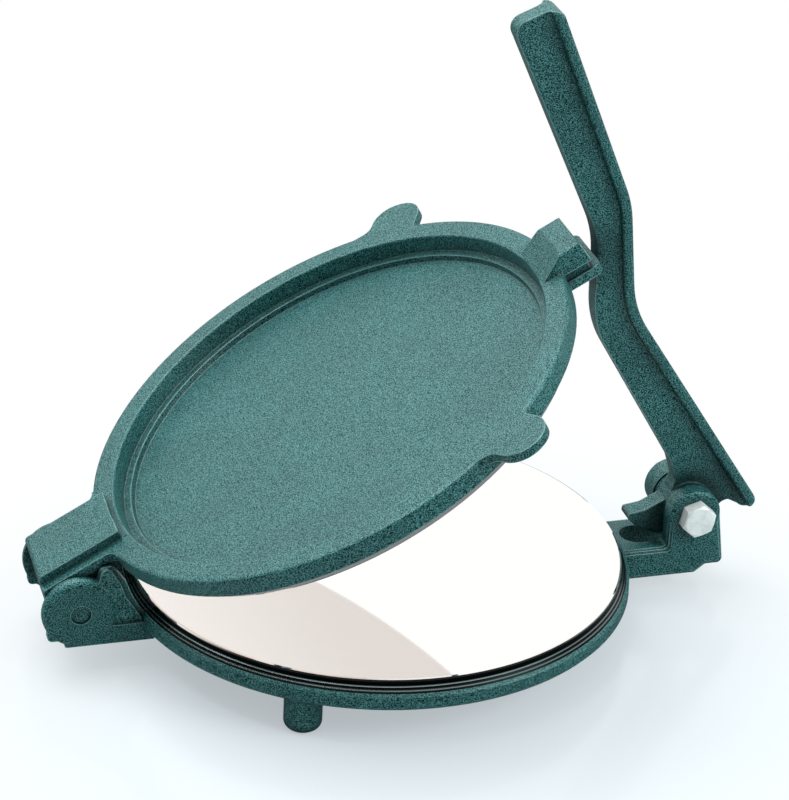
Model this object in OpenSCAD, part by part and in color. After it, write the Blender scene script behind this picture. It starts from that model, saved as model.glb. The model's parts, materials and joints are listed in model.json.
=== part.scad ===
// Cast press for flat breads: two round plates, a hinged lid and a cranked lever.
// The modules are drawn round the press plates' axis, with the table at Z = 0. The hinge lies
// along Y on the -X side and the lever's pivot lies along Y on the +X side. The finished press
// is moved along X so that the origin is under the middle of its length.

/* [Press plates] */
// Diameter of the flat press face
plate_d = 200; // [184:1:216]
// Height of the lower press face above the table
plate_h = 28; // [25:0.5:34]
// Thickness of the steel sheet
sheet_t = 0.8; // [0.5:0.1:1.2]
// Height of the lower plate's skirt
skirt_h = 5; // [4:0.5:6]
// How far the lower skirt spreads outwards from the press face
skirt_flare = 2.2; // [1.6:0.1:3]
// How far each bead stands out from the skirt
bead_h = 0.35; // [0.2:0.05:0.5]
// Height of the lid plate's skirt
lid_skirt_h = 3.2; // [2.4:0.2:3.4]
// Gap between the two press faces with the lid shut
shut_gap = 0.3; // [0.2:0.05:1]

/* [Base] */
// Width of the flat green ledge outside the skirt
ledge_w = 1.2; // [0.6:0.1:3]
// Height of the rim wall
rim_h = 7; // [5:0.5:9]
// Thickness of the rim wall
rim_w = 8; // [6:0.5:12]
// Thickness of the floor under the press plate
base_floor_t = 3.6; // [2.5:0.1:5]
// Diameter of each foot
foot_d = 15; // [12:0.5:18]
// Distance of the feet inside the rim's outer edge
foot_inset = 1.6; // [1.3:0.1:2.5]
// Rounding at the bottom of each foot
foot_round = 3.5; // [2:0.5:5]
// Angle from +X to each rear foot
foot_angle = 122; // [110:1:130]

/* [Hinge] */
// Distance from the press plate's edge to the hinge pin
hinge_past = 25.4; // [24:0.2:28]
// Drop of the hinge pin below the lower press face
hinge_drop = 2.1; // [1:0.1:4]
// Diameter of the hinge pin
pin_d = 8; // [6:0.5:9]
// Radial running clearance of the pin in the ears and in the lid
pin_clear = 0.05; // [0.02:0.01:0.1]
// How far the pin's ends lie below the ears' faces
pin_recess = 0.9; // [0.3:0.1:1.5]
// Radius of the hinge ears
ear_r = 15; // [13.5:0.5:15.5]
// Thickness of each hinge ear
ear_t = 4.4; // [3.8:0.2:6]
// Rounding of the ears' outer edges
ear_round = 3.2; // [1.5:0.1:3.5]
// Height of the bars that carry the ears
bar_h = 9.6; // [8:0.2:11]
// Height of the guide lugs above the hinge pin
lug_up = 19.2; // [17:0.2:19.6]
// Thickness of the guide lugs
lug_t = 3.2; // [2.6:0.2:3.6]
// Width of the sloped end on the guide lugs' outer side
lug_slope = 2.6; // [1.6:0.1:3]
// Side clearance between the lid's arm and the ears
arm_clear = 0.4; // [0.2:0.05:0.6]

/* [Lid] */
// Angle at which the lid stands open
lid_open = 29.4; // [29:0.1:30]
// How far the lid's rim stands out past the press plate
lid_past = 4.1; // [3.6:0.1:5]
// Height of the lid's rim wall
lid_rim_h = 9.1; // [8:0.1:10]
// Width of the flat top of the rim
lid_rim_w = 9.8; // [8.5:0.1:11]
// Width of the step inside the rim
step_w = 3.1; // [2:0.1:4]
// Depth of that step below the rim's top
step_drop = 7.1; // [6:0.1:8]
// Depth of the dished floor below the rim's top
dish_drop = 9.5; // [9:0.1:9.8]
// Rounding of the rim's outer edges
rim_round = 1.2; // [0.6:0.1:1.6]
// Half width of the hinge arm
arm_hw = 20.7; // [19:0.1:21]
// Thickness of the arm's flange
arm_t = 3.9; // [3:0.1:5]
// How far the arm reaches past the pin
arm_over = 7.8; // [6:0.2:9]
// Height of the raised pad on the arm
pad_h = 3.4; // [2.5:0.1:4.5]
// Half width of the raised pad
pad_hw = 16; // [13:0.5:17]
// Radius of the lid's knuckle
knuckle_r = 11.4; // [10:0.2:12]
// Radius of the fillets between arm and rim
arm_fillet = 5; // [3:0.5:6]
// How far a lobe's tip stands out past the lid's rim
lobe_l = 16.9; // [12:0.1:18]
// Half width of a lobe
lobe_hw = 10.8; // [9:0.2:12]
// Angle from the nose to the lobe on the bolt head's side
near_lobe_angle = 61; // [50:0.5:70]
// Angle from the nose to the lobe on the nut's side
far_lobe_angle = 56.5; // [50:0.5:70]
// Thickness of the finger lobes
lobe_t = 3.8; // [3:0.2:5]

/* [Nose] */
// Height of the nose above the rim
nose_h = 6.8; // [6:0.2:9]
// Half width of the nose at its top
nose_hw = 12.8; // [11:0.2:14]
// Extra half width of the nose at its foot
nose_draft = 2; // [1:0.2:3]
// Distance from the lid's rim out to the nose's ridge
ridge_out = 1.5; // [1:0.1:3]
// Distance from the lid's rim out to the nose's end face at its top
nose_out = 10.3; // [9:0.1:10.8]
// Distance from the lid's rim out to the foot of the nose's end face
foot_out = 11.3; // [10.8:0.1:12.3]
// Drop of the nose's foot below the rim's top, outside the rim
nose_drop = 1.5; // [0.8:0.1:2]
// Distance from the lid's rim out to the end of the lip
tip_out = 13.9; // [13:0.1:14.4]
// Thickness of the lower lip
lip_t = 4.1; // [3:0.1:5]
// How far the neck between lip and wedge lies back
neck_back = 1.6; // [1:0.1:2.5]

/* [Lever] */
// Distance from the press plate's edge to the lever's pivot
pivot_past = 32.8; // [31:0.2:34]
// Height of the pivot above the lower press face
pivot_up = 7.2; // [7:0.1:8.2]
// Thickness of the lever's web and beak
web_t = 8; // [6:0.5:10]
// Width of the lever's outer flange and hub
flange_w = 13.6; // [12:0.2:14]
// Thickness of the lever's outer flange
flange_t = 4.6; // [3.6:0.1:6]
// Length along the web of the fillets between web and flange
web_fillet = 4; // [2:0.5:5]
// Depth of the lever's grip at its top end
grip_depth = 20; // [18:0.5:22]
// Radius of the lever's hub
hub_r = 10.6; // [9.8:0.1:11]
// Reach of the beak from the pivot
beak_l = 25.8; // [24:0.1:26.5]
// Radius of the lever's bends along its outer face
bend_r = 45; // [35:1:60]
// Rounding of the lever's top corners
tip_round = 5; // [4.6:0.1:7]
// Rounding of the outer flange's long edges
flange_edge = 1.5; // [0.5:0.1:1.6]
// Rounding of the flange's lower end
end_round = 3.8; // [1:0.2:4]

/* [Clevis] */
// Thickness of each clevis cheek
cheek_t = 6.8; // [5:0.2:8]
// Radius of the cheeks' round tops
cheek_r = 11.2; // [10.5:0.1:12]
// Side clearance between the lever's hub and the cheeks
cheek_clear = 0.4; // [0.2:0.05:0.8]
// Depth of the arm's top below the lower press face
arm_drop = 6.7; // [6:0.1:8]
// Height of the arm's underside above the table
arm_low = 7.7; // [6:0.1:9]
// Height of the step under the cheeks' outer ends
heel_up = 3.5; // [2:0.1:4.5]
// How far the cheeks' feet reach past the pivot
heel_l = 14.6; // [13.6:0.1:16]
// Rounding of the cheeks' outer edges
cheek_round = 1.6; // [0.8:0.1:2]
// Height of the boss on the cheek that carries the nut
boss_h = 4; // [2:0.2:5]
// Distance from the pivot to the round end of the slot
slot_l = 19.8; // [18:0.2:22]

/* [Fasteners] */
// Diameter of the pivot bolt
bolt_d = 8; // [7:0.5:9]
// Radial running clearance of the bolt
bolt_clear = 0.05; // [0.02:0.01:0.1]
// Size of the bolt's head and nut across flats
hex_af = 13; // [12.5:0.5:14]
// Height of the bolt's head
head_h = 5.3; // [4.5:0.1:6]
// Height of the nut
nut_h = 4.6; // [4:0.1:7]
// Outside diameter of the washer
washer_d = 16; // [15:0.5:17]
// Thickness of the plain washer
washer_t = 1.2; // [0.8:0.1:2]
// Radial play between the nut and the bolt
nut_play = 0.02; // [0.01:0.01:0.05]
// Turn of the bolt's head about its axis
head_turn = 18; // [0:1:59]
// Length of bolt that shows past the nut
bolt_past = 1; // [0.5:0.5:3]

/* [Hidden] */
$fn = 128;

green = [0.22, 0.42, 0.41];
steel = [0.86, 0.86, 0.84];
zinc = [0.78, 0.82, 0.81];

plate_r = plate_d / 2;
// Radial play between a steel cap and the casting inside it
cap_play = 0.1;
// Small overlap that makes two shapes of one casting a single solid
join = 0.4;
// How far a tool that cuts right through stands out at each end
through = 1;
// How far the straight stretches of a swept shape run into its bends
lap = 0.01;
// Slight slope that lets two nearly level faces cross cleanly
blend = 0.04;

// Base levels
seat_z = plate_h - sheet_t;
ledge_z = plate_h - skirt_h;
rim_r = plate_r + skirt_flare + ledge_w;
rim_z = ledge_z - rim_h;
foot_r = foot_d / 2;
foot_ring = rim_r - foot_r - foot_inset;

// Hinge
hinge_x = plate_r + hinge_past;
hinge_z = plate_h - hinge_drop;
pin_r = pin_d / 2;
ear_in = arm_hw + arm_clear;
ear_out = ear_in + ear_t;
bar_z = hinge_z - ear_r;
lug_out = ear_in + lug_t;

// Lid, drawn shut
lid_face_z = plate_h + shut_gap;
lid_floor_z = lid_face_z + sheet_t;
lid_low = lid_floor_z + lid_skirt_h - 0.3;
lid_top = lid_low + lid_rim_h;
lid_r = plate_r + lid_past;
lid_in = lid_r - lid_rim_w;
dish_z = lid_top - dish_drop;
lobe_reach = lid_r + lobe_l;
lobe_in = lid_rim_w / 2;
ridge_x = lid_r + ridge_out;
nose_x = lid_r + nose_out;
nose_foot_x = lid_r + foot_out;
tip_x = lid_r + tip_out;

// Pivot
pivot_x = plate_r + pivot_past;
pivot_z = plate_h + pivot_up;
slot_x = pivot_x - slot_l;
cheek_in = flange_w / 2 + cheek_clear;
cheek_out = cheek_in + cheek_t;
nut_seat = cheek_out + boss_h;
bolt_r = bolt_d / 2;

// A flat outline in X and Z, drawn through Y from y0 to y1
module along_y(y0, y1) {
  translate([0, y1, 0]) rotate([90, 0, 0]) linear_extrude(y1 - y0) children();
}

// The same shape on both sides of the X-Z plane, and a flat one on both sides of the X axis
module both_sides() {
  children();
  mirror([0, 1, 0]) children();
}
module both_flat() {
  children();
  mirror([0, 1]) children();
}

// A pin along Y from y0 to y1
module rod(r, y0, y1) {
  translate([0, y1, 0]) rotate([90, 0, 0]) cylinder(h = y1 - y0, r = r);
}

// A pin whose edge at y1 is rounded by edge, in n steps
module round_pin(r, y0, y1, edge, n) {
  rod(r, y0, y1 - edge);
  translate([0, y1 - edge, 0]) rotate([-90, 0, 0])
    rotate_extrude() polygon(concat(
      [[0, 0]],
      [for (i = [0 : n])
        [r - edge + edge * cos(90 * i / n), edge * sin(90 * i / n)]],
      [[0, edge]]
    ));
}

function unit(v) = v / norm(v);

// Points of an arc that rounds the corner at b between a and c
function corner(a, b, c, r, n) =
  let (
    u = unit(a - b),
    w = unit(c - b),
    half = acos(u * w) / 2,
    reach = r / tan(half),
    centre = b + unit(u + w) * r / sin(half),
    p = b + u * reach - centre,
    q = b + w * reach - centre,
    from = atan2(p[1], p[0]),
    turn = atan2(p[0] * q[1] - p[1] * q[0], p * q)
  )
  [for (i = [0 : n]) centre + r * [cos(from + turn * i / n), sin(from + turn * i / n)]];

// A closed outline whose points are [x, y, corner radius]
function smooth(path, n = 8) =
  let (last = len(path))
  [
    for (i = [0 : last - 1])
      let (
        a = path[(i + last - 1) % last],
        b = path[i],
        c = path[(i + 1) % last]
      )
      each b[2] > 0
        ? corner([a[0], a[1]], [b[0], b[1]], [c[0], c[1]], b[2], n)
        : [[b[0], b[1]]]
  ];

// ---- base ----

module base_shell() {
  rotate_extrude() polygon([
    [0, seat_z],
    [plate_r - sheet_t - cap_play, seat_z],
    [plate_r - sheet_t - cap_play, ledge_z + 1],
    [plate_r - sheet_t - cap_play + 1, ledge_z],
    [rim_r - 1, ledge_z],
    [rim_r, ledge_z - 1],
    [rim_r + 0.2, rim_z + 1.4],
    [rim_r - 1, rim_z],
    [rim_r - rim_w, rim_z],
    [rim_r - rim_w - 1, seat_z - base_floor_t],
    [0, seat_z - base_floor_t]
  ]);
}

// Stub foot: its top is buried in the rim and in the floor, and stays below the ledge
module foot() {
  intersection() {
    translate([foot_ring, 0, 0]) rotate_extrude() polygon(concat(
      [[0, seat_z - join], [0, 0], [foot_r - foot_round, 0]],
      [for (a = [-75 : 15 : 0])
        [foot_r - foot_round + foot_round * cos(a), foot_round + foot_round * sin(a)]],
      [[foot_r, seat_z - join]]
    ));
    union() {
      cylinder(h = ledge_z - 1, r = rim_r + foot_d);
      cylinder(h = seat_z, r = rim_r - rim_w + 1);
    }
  }
}

// Outline of a guide lug, seen from the hinge pin, its plate end drawn back by d
function lug_side(d) = let (foot = bar_h - ear_r) smooth([
  [ear_r - 5, foot - 1, 0],
  [ear_r - 5, foot + 3, 0],
  [6.1 + d / 6, lug_up - 8, 0],
  [8 + d / 6, lug_up - 0.9 - d / 6, 1.4],
  [13 - d / 2, lug_up - d / 6, 1.4],
  [18.4 - d, 11.4, 4],
  [20.6 - d, 5.2, 4],
  [26 - d / 2, foot, 0],
  [26 - d / 2, foot - 1, 0]
], 4);

// One hinge ear with the bar that carries it and the guide lug beside the lid's arm
module hinge_side() {
  // The underside steps up between heel and toe
  heel_x = hinge_x + 7;
  toe_x = hinge_x + ear_r - 2;
  toe_z = bar_z + 3.4;
  bar_end = rim_r - rim_w + 1;
  bar_top = bar_z + bar_h;
  translate([-hinge_x, 0, hinge_z]) {
    round_pin(ear_r, ear_in, ear_out, ear_round, 6);
    along_y(ear_in, lug_out - lug_t / 2) polygon(lug_side(0));
    along_y(ear_in, lug_out) polygon(lug_side(lug_slope));
  }
  along_y(ear_in, ear_out - ear_round / 2) polygon(smooth([
    [-toe_x, hinge_z - 4, 0],
    [-toe_x, toe_z, 2],
    [-heel_x, toe_z, 0.6],
    [-heel_x + 1, bar_z, 1],
    [-bar_end, bar_z, 0],
    [-bar_end, bar_top, 0],
    [-hinge_x, bar_top, 0]
  ]));
  // The bar's outer half, set back below its top and above its underside
  along_y(ear_in, ear_out) polygon([
    [-hinge_x, bar_z + 1], [-bar_end, bar_z + 1],
    [-bar_end, bar_top - 0.6], [-hinge_x, bar_top - 0.6]
  ]);
}

// Outline of the arm and of one clevis cheek, seen along Y and drawn smaller by d
function cheek_side(d) = smooth([
  [rim_r - 6, arm_low + d, 0],
  [pivot_x + 2, arm_low + d, 1.5],
  [pivot_x + 6.6, arm_low + heel_up + d, 1.5],
  [pivot_x + heel_l - d, arm_low + heel_up + d, 2],
  [pivot_x + cheek_r - d, pivot_z, 0],
  [pivot_x - cheek_r + d, pivot_z, 0],
  [pivot_x - cheek_r + d, plate_h - arm_drop - d, 2],
  [rim_r - 6, plate_h - arm_drop - d, 0]
]);

// Round top of one cheek, its outer edge rounded
module cheek_top(out) {
  translate([pivot_x, 0, pivot_z]) round_pin(cheek_r, cheek_in, out, cheek_round, 5);
}

module clevis_arm() {
  difference() {
    union() {
      along_y(-cheek_out + cheek_round, cheek_out - cheek_round) polygon(cheek_side(0));
      along_y(-cheek_out + cheek_round / 3, cheek_out - cheek_round / 3)
        polygon(cheek_side(cheek_round / 3));
      along_y(-cheek_out, cheek_out) polygon(cheek_side(cheek_round));
      cheek_top(cheek_out + boss_h);
      mirror([0, 1, 0]) cheek_top(cheek_out);
    }
    // The slot between the cheeks: round at the plates' side, open at the other
    translate([slot_x, -cheek_in, 0])
      cube([slot_l + heel_l + through, 2 * cheek_in, 2 * pivot_z]);
    translate([slot_x, 0, 0]) cylinder(h = 2 * pivot_z, r = cheek_in);
  }
}

module base_casting() {
  color(green) difference() {
    union() {
      base_shell();
      for (a = [0, foot_angle, -foot_angle]) rotate(a) foot();
      both_sides() hinge_side();
      clevis_arm();
    }
    translate([-hinge_x, 0, hinge_z]) rod(pin_r + pin_clear, -ear_out - through, ear_out + through);
    translate([pivot_x, 0, pivot_z])
      rod(bolt_r + bolt_clear, -cheek_out - through, nut_seat + through);
  }
}

// Skirt of the lower plate, k running from 0 at the face down to 1 at the ledge:
// it spreads as k squared and carries a bead at each of the two places named
bead_at = [0.5, 0.8];
function skirt_r(k) = plate_r + skirt_flare * k * k;
function skirt_z(k) = plate_h - sheet_t - k * (skirt_h - sheet_t);
function bead(k) = min([for (at = bead_at) abs(k - at)]) < 0.01 ? bead_h : 0;

module base_press_plate() {
  color(steel) rotate_extrude() polygon(concat(
    [
      [0, plate_h],
      [plate_r - sheet_t, plate_h],
      [plate_r - 0.3 * sheet_t, plate_h - 0.3 * sheet_t]
    ],
    [for (k = [0 : 0.1 : 1]) [skirt_r(k) + bead(k), skirt_z(k)]],
    [for (k = [1 : -0.25 : 0.25]) [skirt_r(k) - sheet_t, skirt_z(k)]],
    [[plate_r - sheet_t, seat_z], [0, seat_z]]
  ));
}

module hinge_pin() {
  pin_end = ear_out - pin_recess;
  color(zinc) translate([-hinge_x, 0, hinge_z]) rod(pin_r, -pin_end, pin_end);
}

// ---- lid ----

// Turns what is drawn shut up to the angle at which the lid stands
module lid_place() {
  translate([-hinge_x, 0, hinge_z]) rotate([0, -lid_open, 0])
    translate([hinge_x, 0, -hinge_z]) children();
}

module lid_shell() {
  rotate_extrude() polygon([
    [0, lid_floor_z],
    [plate_r - sheet_t - cap_play, lid_floor_z],
    [plate_r - sheet_t - cap_play, lid_low],
    [lid_r - rim_round, lid_low],
    [lid_r, lid_low + rim_round],
    [lid_r, lid_top - rim_round],
    [lid_r - 0.3 * rim_round, lid_top - 0.3 * rim_round],
    [lid_r - rim_round, lid_top],
    [lid_in + 0.5, lid_top],
    [lid_in, lid_top - 0.5],
    [lid_in - 0.9, lid_top - step_drop],
    [lid_in - 0.9 - step_w, lid_top - step_drop],
    [lid_in - 1.6 - step_w, dish_z],
    [0, dish_z]
  ]);
}

// Plan of the hinge arm: a straight bar that runs into the rim with two fillets
module arm_plan() {
  meet = lid_r + arm_fillet;
  side = arm_hw + arm_fillet;
  root_x = sqrt(meet * meet - side * side);
  difference() {
    union() {
      translate([-hinge_x - arm_over, -arm_hw]) square([hinge_x + arm_over - lid_in, 2 * arm_hw]);
      difference() {
        translate([-root_x, -side]) square([root_x - lid_in, 2 * side]);
        both_flat() translate([-root_x, side]) circle(r = arm_fillet);
      }
    }
    circle(r = lid_in + 2);
  }
}

module hinge_arm() {
  arm_end = hinge_x + arm_over;
  // The flange's top layer stops short of its end by as much as it is thick
  edge = 0.5;
  translate([0, 0, lid_top - arm_t]) linear_extrude(arm_t - edge) arm_plan();
  translate([0, 0, lid_top - edge - join]) linear_extrude(edge + join) intersection() {
    arm_plan();
    translate([-arm_end + edge, -arm_hw * 2]) square([arm_end, arm_hw * 4]);
  }
  // The pad ends on an arc round the dish
  difference() {
    along_y(-pad_hw, pad_hw) polygon(smooth([
      [-arm_end + 0.6, lid_top - join, 0],
      [-lid_in - 2, lid_top - join, 0],
      [-lid_in - 2, lid_top + pad_h, 0],
      [-arm_end + 0.6, lid_top + pad_h, 2]
    ]));
    translate([0, 0, lid_top - through]) cylinder(h = pad_h + 2 * through, r = lid_in + 2.4);
  }
  // Knuckle round the pin and the web that carries it
  translate([-hinge_x, 0, hinge_z]) rod(knuckle_r, -arm_hw, arm_hw);
  along_y(-arm_hw + 1, arm_hw - 1) polygon([
    [-hinge_x - knuckle_r * 0.62, hinge_z + knuckle_r * 0.62],
    [-hinge_x - knuckle_r * 0.62, lid_top - arm_t + join],
    [-lid_r + 4, lid_top - arm_t + join],
    [-lid_r + 4, lid_low],
    [-lid_r, lid_low],
    [-hinge_x + knuckle_r * 0.7, hinge_z - knuckle_r * 0.7]
  ]);
}

// Wedge on the free side of the lid that the lever bears on
module nose() {
  foot_hw = nose_hw + nose_draft;
  root_x = lid_in + 3;
  foot_z = lid_top - nose_drop;
  intersection() {
    along_y(-foot_hw, foot_hw) polygon(smooth([
      [lid_in, lid_top, 0],
      [lid_in + 0.6, lid_top - join, 0],
      [lid_r - 3, lid_top - join, 0],
      [lid_r - 3, foot_z, 0],
      [nose_foot_x, foot_z, 0],
      [nose_x, lid_top + nose_h, 1],
      [ridge_x, lid_top + nose_h, 2]
    ]));
    rotate([90, 0, 90]) linear_extrude(tip_x) polygon(smooth([
      [-foot_hw, foot_z, 0], [foot_hw, foot_z, 0],
      [nose_hw, lid_top + nose_h, 1.5], [-nose_hw, lid_top + nose_h, 1.5]
    ]));
  }
  translate([root_x, -foot_hw + neck_back, lid_low + lip_t - join])
    cube([nose_foot_x - neck_back - root_x, 2 * (foot_hw - neck_back),
      foot_z - lid_low - lip_t + 2 * join]);
  translate([0, 0, lid_low]) linear_extrude(lip_t) polygon(smooth([
    [root_x, -foot_hw, 0], [tip_x, -foot_hw, 4], [tip_x, foot_hw, 4], [root_x, foot_hw, 0]
  ]));
}

// Thin ear on the rim for a finger: round, with a wide fillet on the hinge's side
module lobe(angle) {
  translate([0, 0, lid_top - lobe_t]) linear_extrude(lobe_t) difference() {
    rotate(angle) polygon(smooth([
      [lid_r - lobe_in, -lobe_hw - 1, 0],
      [lid_r + 1, -lobe_hw, 1.5],
      [lobe_reach, -lobe_hw, lobe_hw - 0.6],
      [lobe_reach, lobe_hw, lobe_hw - 0.6],
      [lid_r + 1.5, lobe_hw, 6],
      [lid_r - lobe_in, lobe_hw * 2, 0]
    ]));
    circle(r = lid_r - lobe_in + 2);
  }
}

module lid_casting() {
  color(green) lid_place() difference() {
    union() {
      lid_shell();
      hinge_arm();
      nose();
      lobe(far_lobe_angle);
      mirror([0, 1, 0]) lobe(near_lobe_angle);
    }
    translate([-hinge_x, 0, hinge_z]) rod(pin_r + pin_clear, -arm_hw - through, arm_hw + through);
  }
}

module lid_press_plate() {
  top = lid_face_z + lid_skirt_h;
  color(steel) lid_place() rotate_extrude() polygon([
    [0, lid_face_z],
    [plate_r - sheet_t, lid_face_z],
    [plate_r - 0.3 * sheet_t, lid_face_z + 0.3 * sheet_t],
    [plate_r, lid_face_z + sheet_t],
    [plate_r, top],
    [plate_r - sheet_t, top],
    [plate_r - sheet_t, lid_floor_z],
    [0, lid_floor_z]
  ]);
}

// ---- lever ----
// All its points are X and Z from the pivot, with the lever as it stands

function heading(p, q) = atan2(q[1] - p[1], q[0] - p[0]);
function side(p, q) = let (d = unit(q - p)) [d[1], -d[0]];
function flat(p) = [p[0], p[1]];

// Outer face of the flange, from the top down: X, Z and the radius of the bend
lever_outer = [
  [-71.6, 222.2, 0], [-36.6, 139.4, bend_r], [-31.5, 93.4, bend_r], [30.7, -0.2, 0]
];
lever_top = flat(lever_outer[0]);
lever_across = side(lever_top, flat(lever_outer[1]));
// Underside from the flange's round end towards the hub, from the centre of that round
lever_heel = [[-7, -0.2], [-9, -0.4], [-12.5, -5]];
// Free edge of the web, from the flange's top round the corner and down to the hub
lever_inner = [
  [lever_top[0], lever_top[1], 0],
  [lever_top[0] + grip_depth * lever_across[0], lever_top[1] + grip_depth * lever_across[1],
    tip_round],
  [-49, 125.2, bend_r], [-47.8, 86.3, bend_r], [-9, 21.5, 0]
];

// Turn and tangent length of the bend at point i of a path
function turn(path, i) =
  heading(flat(path[i]), flat(path[i + 1])) - heading(flat(path[i - 1]), flat(path[i]));
function tangent(path, i) =
  i == 0 || i == len(path) - 1 ? 0 : path[i][2] * tan(abs(turn(path, i)) / 2);

// Runs a flat section along a path, the section's X pointing to the right of the run
module sweep(path) {
  for (i = [0 : len(path) - 2]) {
    p = flat(path[i]);
    q = flat(path[i + 1]);
    start = p + (tangent(path, i) - lap) * unit(q - p);
    translate([start[0], 0, start[1]]) rotate([0, 90 - heading(p, q), 0])
      linear_extrude(norm(q - p) - tangent(path, i) - tangent(path, i + 1) + 2 * lap)
        children();
  }
  for (i = [1 : len(path) - 2]) {
    p = flat(path[i - 1]);
    b = flat(path[i]);
    r = path[i][2];
    bend = turn(path, i);
    first = heading(p, b);
    centre = b - tangent(path, i) * unit(b - p) + (bend < 0 ? r : -r) * side(p, b);
    translate([centre[0], 0, centre[1]]) rotate([90, 0, 0])
      rotate([0, 0, bend < 0 ? first + bend + 90 : first - 90])
        rotate_extrude(angle = abs(bend))
          translate([r, 0]) mirror([bend < 0 ? 1 : 0, 0]) children();
  }
}

// T section of the flange: X runs inwards from the outer face, Y across
module flange_section() {
  half = flange_w / 2;
  web = web_t / 2 - blend;
  swell = half - web - flange_edge;
  both_flat() polygon(concat(
    [[0, 0]],
    [for (a = [180 : -30 : 90])
      [flange_edge + flange_edge * cos(a), half - flange_edge + flange_edge * sin(a)]],
    [for (a = [90 : -30 : 0])
      [flange_t - flange_edge + flange_edge * cos(a), half - flange_edge + flange_edge * sin(a)]],
    [for (a = [195 : 15 : 270])
      [flange_t + web_fillet + web_fillet * cos(a), web + swell + swell * sin(a)]],
    [[flange_t + web_fillet + 1.5, web], [flange_t + web_fillet + 1.5, 0]]
  ));
}

// An open path of corner points moved sideways by d, towards the right of its run
function shifted(path, d) =
  let (last = len(path) - 1)
  [
    for (i = [0 : last])
      let (
        m = side(flat(path[max(i - 1, 0)]), flat(path[max(i, 1)])),
        n = side(flat(path[min(i, last - 1)]), flat(path[min(i + 1, last)])),
        p = flat(path[i]) + (m + n) * d / (1 + m * n)
      )
      [p[0], p[1], path[i][2] == 0 ? 0 : path[i][2] + d * sign(turn(path, i))]
  ];

// Flat of the web, with the hub's filling and the beak; its back lies inside the flange
function web_side() =
  let (back = shifted(lever_outer, flange_t / 2 + 1))
  smooth([
    lever_inner[1],
    lever_inner[2],
    lever_inner[3],
    [lever_inner[4][0], lever_inner[4][1], 4],
    [-6, 12.5, 5],
    [-9, 4.2, 4],
    [-18.4, -0.5, 4],
    [-beak_l + 0.2, -1.5, 1],
    [-beak_l, -3.9, 1.2],
    [-21.5, -8.2, 3],
    [-12, -12.4, 8],
    [0, -10.5, 5],
    [9, -6, 3],
    [15.5, 0.2, 3],
    [back[3][0] - 4.5, back[3][1] + 4.5, 0],
    [back[2][0], back[2][1], 0],
    [back[1][0], back[1][1], 0],
    [back[0][0], back[0][1], 0]
  ]);

// The sliver that rounds a corner at b takes off, with room beyond both faces
module corner_off(a, b, c, r) {
  n = 8;
  room = 3;
  cut = corner(a, b, c, r, n);
  u = room * unit(b - a);
  w = room * unit(b - c);
  along_y(-flange_w, flange_w) polygon(concat(cut, [cut[n] + u, b + u + w, cut[0] + w]));
}

// What is taken off below the flange's round lower end and along the heel
module foot_off() {
  room = 14;
  steps = 12;
  foot = flat(lever_outer[3]);
  up = unit(flat(lever_outer[2]) - foot);
  across = side(flat(lever_outer[2]), foot);
  centre = foot + end_round * (up + across);
  from = atan2(-across[1], -across[0]);
  to = -140;
  along_y(-flange_w, flange_w) polygon(concat(
    [for (i = [0 : steps])
      let (a = from + (to - from) * i / steps) centre + end_round * [cos(a), sin(a)]],
    [for (p = lever_heel) centre + p],
    [centre + [-3, -room], centre + [room, -room], centre - 3 * end_round * across]
  ));
}

module lever_casting() {
  color(green) translate([pivot_x, 0, pivot_z]) difference() {
    union() {
      sweep(lever_outer) flange_section();
      along_y(-web_t / 2, web_t / 2) polygon(web_side());
      rod(hub_r, -flange_w / 2, flange_w / 2);
    }
    corner_off(lever_top + grip_depth * lever_across, lever_top, flat(lever_outer[1]), tip_round);
    foot_off();
    rod(bolt_r + bolt_clear, -flange_w, flange_w);
  }
}

// ---- fasteners ----

// A hexagon of height h whose outer corners are turned off above the height low
module hex(h, low, angle = 0) {
  intersection() {
    rotate(angle) linear_extrude(h) circle(d = hex_af / cos(30), $fn = 6);
    rotate_extrude() polygon([
      [0, 0], [hex_af, 0], [hex_af, low],
      [hex_af / 2 + 0.4, h - 0.5], [hex_af / 2 - 0.5, h], [0, h]
    ]);
  }
}

module lever_bolt() {
  end = nut_seat + washer_t + nut_h + bolt_past;
  color(zinc) translate([pivot_x, 0, pivot_z]) rotate([90, 0, 0]) {
    translate([0, 0, cheek_out]) hex(head_h, head_h - 3, head_turn);
    translate([0, 0, -end]) cylinder(h = end + cheek_out, r = bolt_r);
  }
}

// A ring round the bolt, from y0 to y0 + t, on the far side of the clevis
module ring(y0, t, outer_d, inner_d) {
  translate([pivot_x, y0, pivot_z]) rotate([-90, 0, 0]) difference() {
    cylinder(h = t, d = outer_d);
    translate([0, 0, -through]) cylinder(h = t + 2 * through, d = inner_d);
  }
}

module lever_washer() {
  color(zinc) ring(nut_seat, washer_t, washer_d, bolt_d + 2 * bolt_clear + 0.3);
}

module lever_nut() {
  color(zinc) translate([pivot_x, nut_seat + washer_t, pivot_z])
    rotate([-90, 0, 0]) difference() {
      hex(nut_h, nut_h / 2);
      translate([0, 0, -through])
        cylinder(h = nut_h + 2 * through, d = bolt_d + 2 * nut_play);
    }
}

// Middle of the press's length, between the ears' ends and the flange's lower end
flange_run = unit(flat(lever_outer[3]) - flat(lever_outer[2]));
low_x = -hinge_x - ear_r;
high_x = pivot_x + lever_outer[3][0] + end_round * (1 - flange_run[0] + flange_run[1]);
mid_x = (low_x + high_x) / 2;

module placed() {
  translate([-mid_x, 0, 0]) children();
}

placed() base_casting();
placed() base_press_plate();
placed() hinge_pin();
placed() lid_casting();
placed() lid_press_plate();
placed() lever_casting();
placed() lever_bolt();
placed() lever_washer();
placed() lever_nut();
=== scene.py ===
import bpy, json, math
import numpy as np
from mathutils import Matrix, Vector

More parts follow.
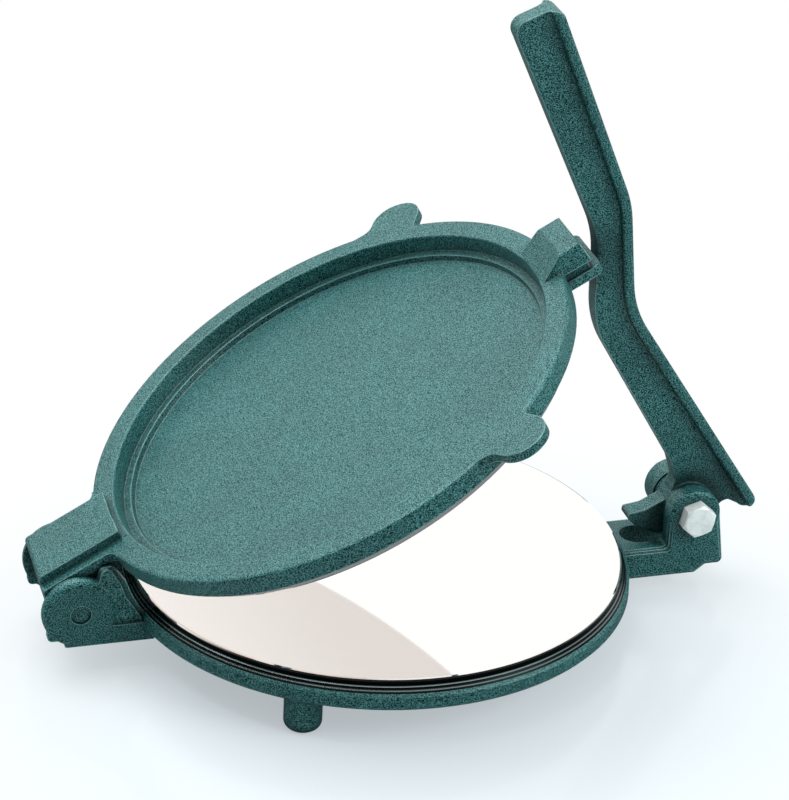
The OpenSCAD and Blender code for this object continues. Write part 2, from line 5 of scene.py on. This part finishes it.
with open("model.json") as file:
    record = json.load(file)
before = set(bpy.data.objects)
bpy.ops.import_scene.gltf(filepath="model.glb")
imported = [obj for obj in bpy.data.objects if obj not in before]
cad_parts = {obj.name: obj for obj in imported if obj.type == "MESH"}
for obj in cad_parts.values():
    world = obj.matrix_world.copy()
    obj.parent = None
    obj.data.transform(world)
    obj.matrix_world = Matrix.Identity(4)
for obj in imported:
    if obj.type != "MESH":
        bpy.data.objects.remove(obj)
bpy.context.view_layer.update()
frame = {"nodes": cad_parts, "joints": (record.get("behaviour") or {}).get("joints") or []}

print("frame loaded")


# A socket of a node tree; sums and products on it add Math nodes
class Sock:
    def __init__(self, tree, socket):
        self.tree, self.socket = tree, socket

    def math(self, operation, *others, first=None):
        values = (self, *others) if first is None else (first, self)
        return addNode(self.tree, "ShaderNodeMath", {"operation": operation},
                       dict(enumerate(values)))

    def __add__(self, other):
        return self.math("ADD", other)

    def __sub__(self, other):
        return self.math("SUBTRACT", other)

    def __rsub__(self, other):
        return self.math("SUBTRACT", first=other)

    def __mul__(self, other):
        return self.math("MULTIPLY", other)

    def __truediv__(self, other):
        return self.math("DIVIDE", other)

    __radd__ = __add__
    __rmul__ = __mul__

    def step(self, low, high):
        # 0 before low, 1 past high, smooth between
        return addNode(self.tree, "ShaderNodeMapRange", {"interpolation_type": "SMOOTHSTEP"},
                       {0: self, 1: low, 2: high, 3: 0.0, 4: 1.0})

    def band(self, middle, half):
        # 1 at middle, falling to 0 at half a band's width away
        return (1.0 - (self - middle).math("ABSOLUTE") / half).math("MAXIMUM", 0.0)

    def between(self, low, high):
        # low where this is 0, high where it is 1
        return low + (high - low) * self


def addNode(tree, kind, settings=None, inputs=None, output=0):
    # Adds one node: settings first, then each socket's value or link
    node = tree.nodes.new(kind)
    for name, value in (settings or {}).items():
        setattr(node, name, value)
    for name, value in (inputs or {}).items():
        socket = node.inputs[name]
        if isinstance(value, Sock):
            tree.links.new(value.socket, socket)
        elif socket.type == "RGBA":
            socket.default_value = (*value, 1.0)
        else:
            socket.default_value = value
    return Sock(tree, node.outputs[output])


def mixColour(factor, low, high):
    return addNode(factor.tree, "ShaderNodeMix", {"data_type": "RGBA"},
                   {0: factor, 6: low, 7: high}, 2)


def noise(place, perMetre, detail, roughness):
    return addNode(place.tree, "ShaderNodeTexNoise", None,
                   {"Vector": place, "Scale": perMetre, "Detail": detail, "Roughness": roughness})


def dotProduct(one, other):
    return addNode(one.tree, "ShaderNodeVectorMath", {"operation": "DOT_PRODUCT"},
                   {0: one, 1: other}, 1)


def axisOf(vector, index):
    return addNode(vector.tree, "ShaderNodeSeparateXYZ", None, {0: vector}, index)


def objectPlace(tree):
    return addNode(tree, "ShaderNodeTexCoord", output="Object")


def emptyTree(owner):
    # Turns nodes on for a material or a world, with none in it yet
    owner.use_nodes = True
    owner.node_tree.nodes.clear()
    return owner.node_tree


def endTree(tree, kind, shader):
    output = tree.nodes.new(kind)
    tree.links.new(shader.socket, output.inputs["Surface"])


def dress(node, material):
    # A CAD node's object comes with one slot
    frame["nodes"][node].data.materials[0] = material


# Hammertone enamel: a grey-green paint with fine specks, the dark ones with a metal's sheen and
# the pale ones without. Edges are rounded and painted paler as a highlight, and corners are
# painted darker as shade.
# Pairs are the two ends of a smooth step.
enamel = {
    "colour": (0.009, 0.128, 0.126),
    "dark": (0.002, 0.040, 0.041),
    "fleck": (0.072, 0.285, 0.280),
    "paintedHighlight": (0.330, 0.680, 0.670),
    "grainPerMetre": 2200.0,
    "darkGrain": (0.50, 0.40),
    "paleGrain": (0.52, 0.61),
    "sheenGrain": (0.52, 0.42), "sheen": 0.92,
    "cloudsPerMetre": 26.0, "clouds": (0.35, 0.68), "cloudShare": 0.2,
    "pitsPerMetre": 1320.0, "pitShare": 0.3,
    "bumpHeight": 0.000192, "bumpStrength": 0.85,
    "edgeRadius": 0.0009, "edgeTurn": (0.03, 0.17), "edgeOpen": (0.50, 0.80), "highlightShare": 0.55,
    "shadeReach": 0.009, "fullShade": 0.35, "noShade": 0.97,
    "roughness": 0.42, "grainRoughness": 0.16, "edgeShine": 0.12,
    "specular": 0.80,
}
# The pin is a little darker. The lever's painted edge highlight is wider, and its painted shade
# reaches deeper beside its web.
pinEnamel = {"colour": tuple(0.9 * channel for channel in enamel["colour"])}
leverEnamel = {"edgeRadius": 0.00135, "shadeReach": 0.0153, "fullShade": 0.74}


def enamelMaterial(name, changes):
    paint = {**enamel, **changes}
    material = bpy.data.materials.new(name)
    tree = emptyTree(material)
    place = objectPlace(tree)
    grain = noise(place, paint["grainPerMetre"], detail=1.5, roughness=0.6)
    pits = addNode(tree, "ShaderNodeTexVoronoi", None,
                   {"Vector": place, "Scale": paint["pitsPerMetre"]})
    clouds = noise(place, paint["cloudsPerMetre"], detail=3.0, roughness=0.5)
    specked = mixColour(grain.step(*paint["darkGrain"]), paint["colour"], paint["dark"])
    specked = mixColour(grain.step(*paint["paleGrain"]), specked, paint["fleck"])
    cloudy = mixColour(clouds.step(*paint["clouds"]) * paint["cloudShare"], specked, paint["dark"])
    # Where the rounded normal leaves the flat one there is an edge
    rounded = addNode(tree, "ShaderNodeBevel", {"samples": 8}, {"Radius": paint["edgeRadius"]})
    flat = addNode(tree, "ShaderNodeNewGeometry", output="Normal")
    openness = addNode(tree, "ShaderNodeAmbientOcclusion", {"samples": 8},
                       {"Distance": paint["shadeReach"]}, "AO")
    turned = (1.0 - dotProduct(rounded, flat)).step(*paint["edgeTurn"])
    onEdge = turned * openness.step(*paint["edgeOpen"])
    # Open convex edges are painted toward a pale colour: a painted highlight
    highlighted = mixColour(onEdge * paint["highlightShare"], cloudy, paint["paintedHighlight"])
    # Closed corners and recesses are painted toward the dark colour: painted shade
    inShade = 1.0 - openness.step(paint["fullShade"], paint["noShade"])
    height = (1.0 - paint["pitShare"]) * grain + paint["pitShare"] * pits
    normal = addNode(tree, "ShaderNodeBump", None,
                     {"Strength": paint["bumpStrength"], "Distance": paint["bumpHeight"],
                      "Height": height, "Normal": rounded})
    grainShine = paint["grainRoughness"] * (grain - 0.5)
    shader = addNode(tree, "ShaderNodeBsdfPrincipled", None, {
        "Base Color": mixColour(inShade, highlighted, paint["dark"]),
        "Metallic": grain.step(*paint["sheenGrain"]) * paint["sheen"] * (1.0 - onEdge),
        "Roughness": paint["roughness"] + grainShine - paint["edgeShine"] * onEdge,
        "Specular IOR Level": paint["specular"], "Normal": normal})
    endTree(tree, "ShaderNodeOutputMaterial", shader)
    return material


# Polished sheet steel. Depth is measured in from the plate's face along its own axis, so the
# skirt is told from the face whether the plate lies flat or is tilted.
pressSteel = {
    "faceEnds": (0.00035, 0.0010),
    # The bead colour paints pale lines along the skirt's beads: painted highlights
    "bead": (0.30, 0.36, 0.36), "beadHalf": 0.00035,
    "smearsPerMetre": 14.0, "smears": (0.4, 0.7), "smearShare": 0.2, "smearTone": 0.95,
    "rubsPerMetre": 900.0,
    "faceRoughness": 0.02, "smearRoughness": 0.02, "rubRoughness": 0.01, "skirtRoughness": 0.24,
}
# The lid stands open at rest by the whole angle that it can shut
lidShut = next(joint for joint in frame["joints"] if joint["name"] == "lid_shut")
lidAngle = math.radians(-min(lidShut["range_deg"]))
pressPlates = {
    # The base plate's skirt is painted near black: a painted dark reflection
    "base_press_plate": {
        "finish": "polished lower plate", "face": (0.985, 0.98, 0.96),
        "skirt": (0.006, 0.012, 0.012), "outward": (0.0, 0.0, 1.0), "beads": (0.0029, 0.0042)},
    # The lid plate's face is tinted beige so that the base plate mirrors it beige: a painted
    # reflection
    "lid_press_plate": {
        "finish": "polished lid plate", "face": (0.8668, 0.784, 0.744),
        "skirt": (0.90, 0.91, 0.90), "outward": (math.sin(lidAngle), 0.0, -math.cos(lidAngle)),
        "beads": (0.0020, 0.0030)},
}


def reachAlong(node, outward):
    # The furthest of the piece's vertices along a direction
    mesh = frame["nodes"][node].data
    points = np.empty(len(mesh.vertices) * 3, np.float32)
    mesh.vertices.foreach_get("co", points)
    return float((points.reshape(-1, 3) @ np.array(outward)).max())


def steelMaterial(node, plate):
    material = bpy.data.materials.new(plate["finish"])
    tree = emptyTree(material)
    place = objectPlace(tree)
    depth = reachAlong(node, plate["outward"]) - dotProduct(place, plate["outward"])
    onSkirt = depth.step(*pressSteel["faceEnds"])
    upperBead, lowerBead = [depth.band(bead, pressSteel["beadHalf"]) for bead in plate["beads"]]
    onBead = (upperBead + lowerBead).math("MINIMUM", 1.0)
    smears = noise(place, pressSteel["smearsPerMetre"], detail=4.0, roughness=0.55)
    rubs = noise(place, pressSteel["rubsPerMetre"], detail=1.0, roughness=0.5)
    smeared = tuple(pressSteel["smearTone"] * channel for channel in plate["face"])
    smearMask = smears.step(*pressSteel["smears"]) * pressSteel["smearShare"]
    face = mixColour(smearMask, plate["face"], smeared)
    # On the base plate the skirt is painted dark as a reflection, with its bead lines painted pale
    # as highlights
    skirt = mixColour(onBead, plate["skirt"], pressSteel["bead"])
    faceRough = (pressSteel["faceRoughness"] + pressSteel["smearRoughness"] * smears
                 + pressSteel["rubRoughness"] * rubs)
    shader = addNode(tree, "ShaderNodeBsdfPrincipled", None, {
        "Base Color": mixColour(onSkirt, face, skirt), "Metallic": 1.0,
        "Roughness": faceRough + onSkirt * pressSteel["skirtRoughness"]})
    endTree(tree, "ShaderNodeOutputMaterial", shader)
    return material


# Bright zinc plate on the bolt, its washer and its nut, faintly cloudy and finely rough
zincPlate = {
    "colour": (0.88, 0.96, 0.95), "dull": (0.60, 0.68, 0.67), "metallic": 0.12,
    "cloudsPerMetre": 240.0, "clouds": (0.42, 0.72), "cloudShare": 0.6,
    "roughness": 0.30, "cloudRoughness": 0.15,
    "edgeRadius": 0.0004, "grainPerMetre": 2600.0, "bumpHeight": 0.00005, "bumpStrength": 0.35,
}


def zincMaterial(name):
    material = bpy.data.materials.new(name)
    tree = emptyTree(material)
    place = objectPlace(tree)
    clouds = noise(place, zincPlate["cloudsPerMetre"], detail=3.0, roughness=0.6)
    grain = noise(place, zincPlate["grainPerMetre"], detail=1.0, roughness=0.5)
    dullMask = clouds.step(*zincPlate["clouds"]) * zincPlate["cloudShare"]
    rounded = addNode(tree, "ShaderNodeBevel", {"samples": 6}, {"Radius": zincPlate["edgeRadius"]})
    normal = addNode(tree, "ShaderNodeBump", None,
                     {"Strength": zincPlate["bumpStrength"], "Distance": zincPlate["bumpHeight"],
                      "Height": grain, "Normal": rounded})
    shader = addNode(tree, "ShaderNodeBsdfPrincipled", None, {
        "Base Color": mixColour(dullMask, zincPlate["colour"], zincPlate["dull"]),
        "Metallic": zincPlate["metallic"],
        "Roughness": zincPlate["roughness"] + zincPlate["cloudRoughness"] * clouds,
        "Normal": normal})
    endTree(tree, "ShaderNodeOutputMaterial", shader)
    return material


castEnamel = enamelMaterial("green hammertone enamel", {})
for casting in ("base_casting", "lid_casting"):
    dress(casting, castEnamel)
dress("lever_casting", enamelMaterial("green enamel on the lever", leverEnamel))
dress("hinge_pin", enamelMaterial("green enamel over steel", pinEnamel))
for node, plate in pressPlates.items():
    dress(node, steelMaterial(node, plate))
zinc = zincMaterial("bright zinc plate")
for fastener in ("lever_bolt", "lever_washer", "lever_nut"):
    dress(fastener, zinc)
print("materials made")


# White glossy table: a painted bluish shade near the press that fades to white further off, and
# dimmed where metal shows it, a painted dark reflection
table = {
    "colour": (0.80, 0.865, 0.90), "roughness": 0.13, "size": 6.0,
    "centre": (0.0, -0.09, 0.0), "tintRadius": 0.10, "whiteRadius": 0.26,
    "paintedShadeTint": (0.84, 0.92, 0.965), "glow": 0.5,
    "mirror": 0.12, "mirrorShare": 0.85,
}


def buildTable():
    # A flat square about the origin, its corners half its size away along X and Y
    corners = table["size"] / 2 * np.array([(-1, -1, 0), (1, -1, 0), (1, 1, 0), (-1, 1, 0)])
    mesh = bpy.data.meshes.new("table")
    mesh.from_pydata(corners.tolist(), [], [(0, 1, 2, 3)])
    floor = bpy.data.objects.new("table", mesh)
    bpy.context.scene.collection.objects.link(floor)
    material = bpy.data.materials.new("glossy white table")
    tree = emptyTree(material)
    offset = addNode(tree, "ShaderNodeVectorMath", {"operation": "SUBTRACT"},
                     {0: objectPlace(tree), 1: table["centre"]})
    radius = addNode(tree, "ShaderNodeVectorMath", {"operation": "LENGTH"}, {0: offset}, 1)
    away = radius.step(table["tintRadius"], table["whiteRadius"])
    surface = addNode(tree, "ShaderNodeBsdfPrincipled", None,
                      {"Base Color": table["colour"], "Roughness": table["roughness"]})
    # The bluish tint round the press is painted shade
    paper = mixColour(away, table["paintedShadeTint"], (1.0, 1.0, 1.0))
    white = addNode(tree, "ShaderNodeEmission", None, {"Color": paper, "Strength": 1.0})
    seen = addNode(tree, "ShaderNodeLightPath", output="Is Camera Ray")
    lit = addNode(tree, "ShaderNodeMixShader", None,
                  {0: away.between(table["glow"], 1.0) * seen, 1: surface, 2: white})
    bounces = addNode(tree, "ShaderNodeLightPath", output="Glossy Depth")
    firstMirror = bounces.math("COMPARE", 1.0, 0.1)  # 1 for a ray that has met one mirror
    # In a first reflection the table shows as a dim glow of its own colour: a painted dark
    # reflection
    dim = addNode(tree, "ShaderNodeEmission", None,
                  {"Color": table["colour"], "Strength": table["mirror"]})
    mirrored = addNode(tree, "ShaderNodeMixShader", None,
                       {0: firstMirror * table["mirrorShare"], 1: lit, 2: dim})
    endTree(tree, "ShaderNodeOutputMaterial", mirrored)
    mesh.materials.append(material)


# White to the camera; to the object, bright behind and above and dimmer in front. Pairs are the
# two ends of a smooth step along Y, Z and X.
surround = {
    "mirroredBack": 1.03, "mirroredFront": 0.02,
    "backFill": 0.66, "leftFill": 0.10, "rightFill": 0.58,
    "behind": (-0.35, 0.45), "above": (0.35, 0.9), "rightward": (-0.7, 0.7),
}


def buildWorld():
    world = bpy.data.worlds.new("white studio")
    bpy.context.scene.world = world
    tree = emptyTree(world)
    direction = addNode(tree, "ShaderNodeTexCoord", output="Generated")
    behind = axisOf(direction, 1).step(*surround["behind"])
    above = axisOf(direction, 2).step(*surround["above"])
    bright = behind.math("MAXIMUM", above)
    right = axisOf(direction, 0).step(*surround["rightward"])
    camera = addNode(tree, "ShaderNodeLightPath", output="Is Camera Ray")
    glossy = addNode(tree, "ShaderNodeLightPath", output="Is Glossy Ray")
    mirrored = bright.between(surround["mirroredFront"], surround["mirroredBack"])
    front = right.between(surround["leftFill"], surround["rightFill"])
    fill = bright.between(front, surround["backFill"])
    level = glossy.between(fill, mirrored)
    back = addNode(tree, "ShaderNodeBackground", None,
                   {"Color": (1.0, 1.0, 1.0), "Strength": camera.between(level, 1.0)})
    endTree(tree, "ShaderNodeOutputWorld", back)


lamps = {
    "overhead": {"place": (-0.35, 0.35, 1.3), "aim": (0.0, 0.0, 0.05), "size": (1.1, 0.9),
                 "power": 15.0, "colour": (1.0, 1.0, 1.0)},
    "side": {"place": (0.60, -0.50, 0.50), "aim": (0.05, 0.0, 0.1), "size": (0.4, 0.4),
             "power": 3.3, "colour": (0.98, 1.0, 1.0)},
}


def addSoftbox(name, place, aim, size, power, colour):
    # A rectangular lamp at place, looking at aim
    lamp = bpy.data.lights.new(name, "AREA")
    lamp.shape, lamp.size, lamp.size_y = "RECTANGLE", size[0], size[1]
    lamp.energy, lamp.color = power, colour
    piece = bpy.data.objects.new(name, lamp)
    bpy.context.scene.collection.objects.link(piece)
    turn = (Vector(place) - Vector(aim)).to_track_quat("Z", "Y")
    piece.matrix_world = Matrix.Translation(place) @ turn.to_matrix().to_4x4()


view = {
    "place": (-0.31732, -1.0105, 0.6342),
    "azimuth": -0.299, "elevation": 0.472, "roll": 0.050,
    "lens": 135.0, "sensor": 36.0, "nearest": 0.05, "furthest": 20.0,
}


def buildCamera():
    # The camera's own axes from azimuth, elevation and roll
    azimuth, elevation, roll = view["azimuth"], view["elevation"], view["roll"]
    back = Vector((math.sin(azimuth) * math.cos(elevation),
                   -math.cos(azimuth) * math.cos(elevation), math.sin(elevation)))
    right = Vector((math.cos(azimuth), math.sin(azimuth), 0.0))
    up = back.cross(right)
    turnedRight = math.cos(roll) * right + math.sin(roll) * up
    turnedUp = -math.sin(roll) * right + math.cos(roll) * up
    camera = bpy.data.cameras.new("camera")
    camera.lens, camera.sensor_width = view["lens"], view["sensor"]
    camera.clip_start, camera.clip_end = view["nearest"], view["furthest"]
    piece = bpy.data.objects.new("camera", camera)
    bpy.context.scene.collection.objects.link(piece)
    axes = Matrix((turnedRight, turnedUp, back)).transposed().to_4x4()
    piece.matrix_world = Matrix.Translation(view["place"]) @ axes
    bpy.context.scene.camera = piece


buildTable()
buildWorld()
for name, lamp in lamps.items():
    addSoftbox(name, **lamp)
buildCamera()
bpy.context.scene.view_settings.view_transform = "Standard"
print("table, lamps and camera placed")
